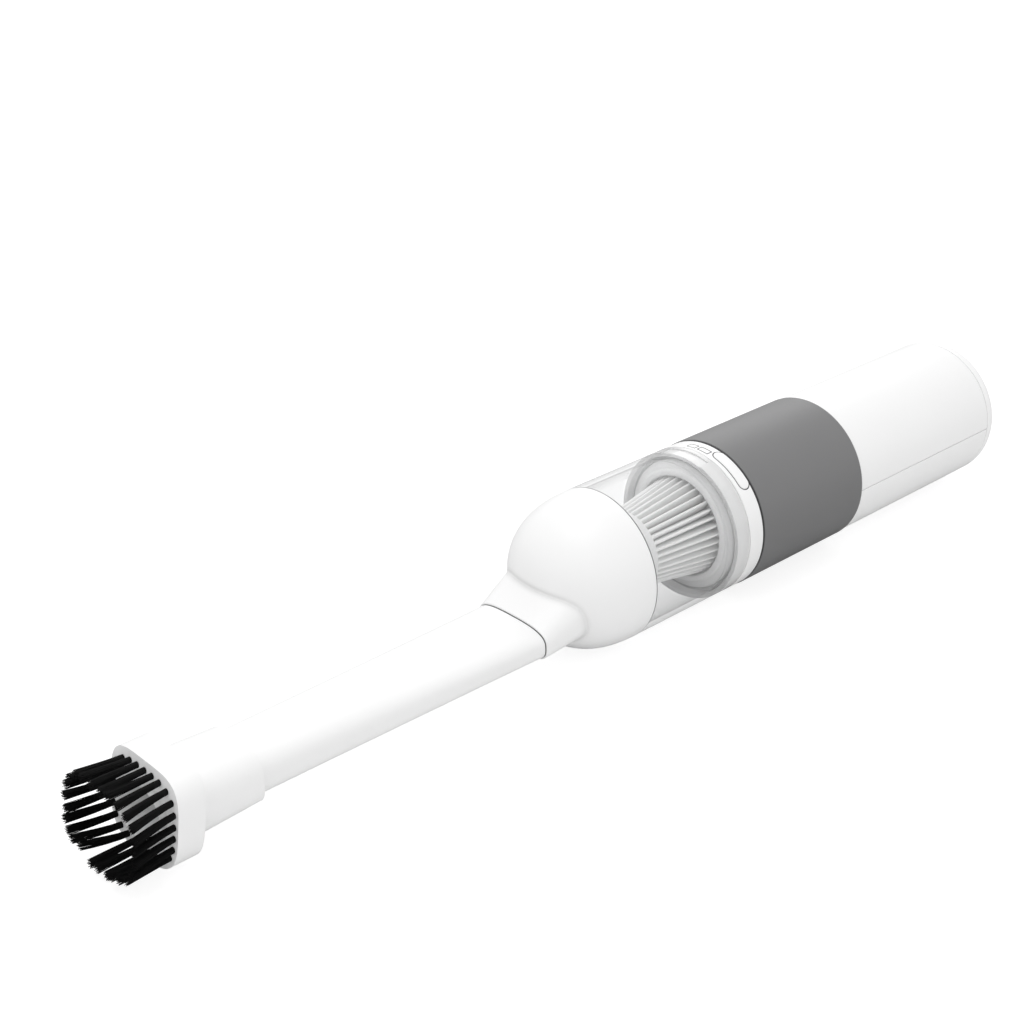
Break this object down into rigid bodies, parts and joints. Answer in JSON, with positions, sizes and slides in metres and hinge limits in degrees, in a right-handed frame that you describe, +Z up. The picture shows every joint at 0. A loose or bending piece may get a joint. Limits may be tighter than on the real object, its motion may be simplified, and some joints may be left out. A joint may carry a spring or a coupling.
{
  "type": "handheld vacuum cleaner",
  "caption": "Cordless hand vacuum: round handle with a grey grip band, clear dust cup with a pleated filter, domed nose, flat tapering nozzle and a round-cornered brush head.",
  "frame": {"origin": "bottom centre of the whole part's box, on the plane that the two feet stand on, under the handle's axis", "axes": "+X from the brush to the handle's end along the handle's axis, +Y to the right of a person who holds the handle and points the nozzle away, +Z up"},
  "size_m": [0.5077, 0.0706, 0.0708],
  "materials": {
    "white_plastic": "satin moulded white plastic",
    "grey_plastic": "satin moulded light grey plastic",
    "grey_band": "matte soft-touch grey coating",
    "clear_plastic": "clear glossy polycarbonate",
    "black_plastic": "fine satin black plastic",
    "black_bristle": "black nylon filament, slightly glossy",
    "filter_paper": "white pleated filter paper, fibrous",
    "dark_rubber": "matte dark rubber",
    "steel": "drawn steel, satin",
    "motor_metal": "zinc-coated can, satin",
    "cell_wrap": "shrink sleeve over a metal can, satin blue",
    "board": "green solder mask on a glass-epoxy board",
    "foam": "open-cell grey foam",
    "light_lens": "frosted clear lens"
  },
  "bodies": {
    "handle": {"collar_ring": "white_plastic", "filter_seat": "grey_plastic", "fan_shroud": "black_plastic", "motor_can": "motor_metal", "motor_cap": "black_plastic", "motor_mount": "dark_rubber", "grip_band": "grey_band", "upper_shell": "white_plastic", "lower_shell": "white_plastic", "foot_left": "dark_rubber", "foot_right": "dark_rubber", "status_light": "light_lens", "battery_cell_left": "cell_wrap", "battery_cell_right": "cell_wrap", "battery_cradle": "black_plastic", "circuit_board": "board", "power_switch": "black_plastic", "charge_socket": "steel", "exhaust_foam": "foam", "end_cap": "white_plastic"},
    "cup": {"nose_shell": "white_plastic", "flap_pin": "steel", "dust_cup": "clear_plastic", "cup_seal": "dark_rubber"},
    "nozzle": {"nozzle_tube": "white_plastic"},
    "brush": {"brush_head": "white_plastic", "bristles_right": "black_bristle", "bristles_top": "black_bristle", "bristles_left": "black_bristle", "bristles_bottom": "black_bristle"},
    "flap": {"inlet_flap": "dark_rubber"},
    "filter": {"filter_cap": "grey_plastic", "filter_pleats": "filter_paper", "filter_base": "grey_plastic", "filter_seal": "dark_rubber"},
    "ring": {"lock_ring": "clear_plastic"},
    "latch": {"release_button": "white_plastic"},
    "power_key": {"power_button": "white_plastic"},
    "rotor": {"fan": "black_plastic", "motor_shaft": "steel"}
  },
  "joints": [
    {"name": "cup_pull", "type": "slide", "parent": "handle", "child": "cup", "axis": [-1, 0, 0], "range_m": [0, 0.045]},
    {"name": "nozzle_pull", "type": "slide", "parent": "cup", "child": "nozzle", "axis": [-1, 0, 0], "range_m": [0, 0.03]},
    {"name": "brush_pull", "type": "slide", "parent": "nozzle", "child": "brush", "axis": [-1, 0, 0], "range_m": [0, 0.03]},
    {"name": "inlet_flap_swing", "type": "hinge", "parent": "cup", "child": "flap", "pos_m": [-0.01445, 0, 0.0289], "axis": [0, -1, 0], "range_deg": [0, 65], "stiffness_Nm_per_rad": 0.0008, "springref_deg": -5.73},
    {"name": "filter_pull", "type": "slide", "parent": "handle", "child": "filter", "axis": [-1, 0, 0], "range_m": [0, 0.022]},
    {"name": "lock_turn", "type": "hinge", "parent": "handle", "child": "ring", "pos_m": [0.0573, 0, 0.0355], "axis": [-1, 0, 0], "range_deg": [0, 20]},
    {"name": "latch_press", "type": "slide", "parent": "handle", "child": "latch", "axis": [0, 0.4924, -0.8704], "range_m": [0, 0.0015], "stiffness_N_per_m": 500, "springref_m": -0.001},
    {"name": "power_press", "type": "slide", "parent": "handle", "child": "power_key", "axis": [0, -1, 0], "range_m": [0, 0.001], "stiffness_N_per_m": 500, "springref_m": -0.001},
    {"name": "fan_spin", "type": "hinge", "parent": "handle", "child": "rotor", "pos_m": [0.075, 0, 0.0355], "axis": [1, 0, 0], "continuous": true}
  ]
}
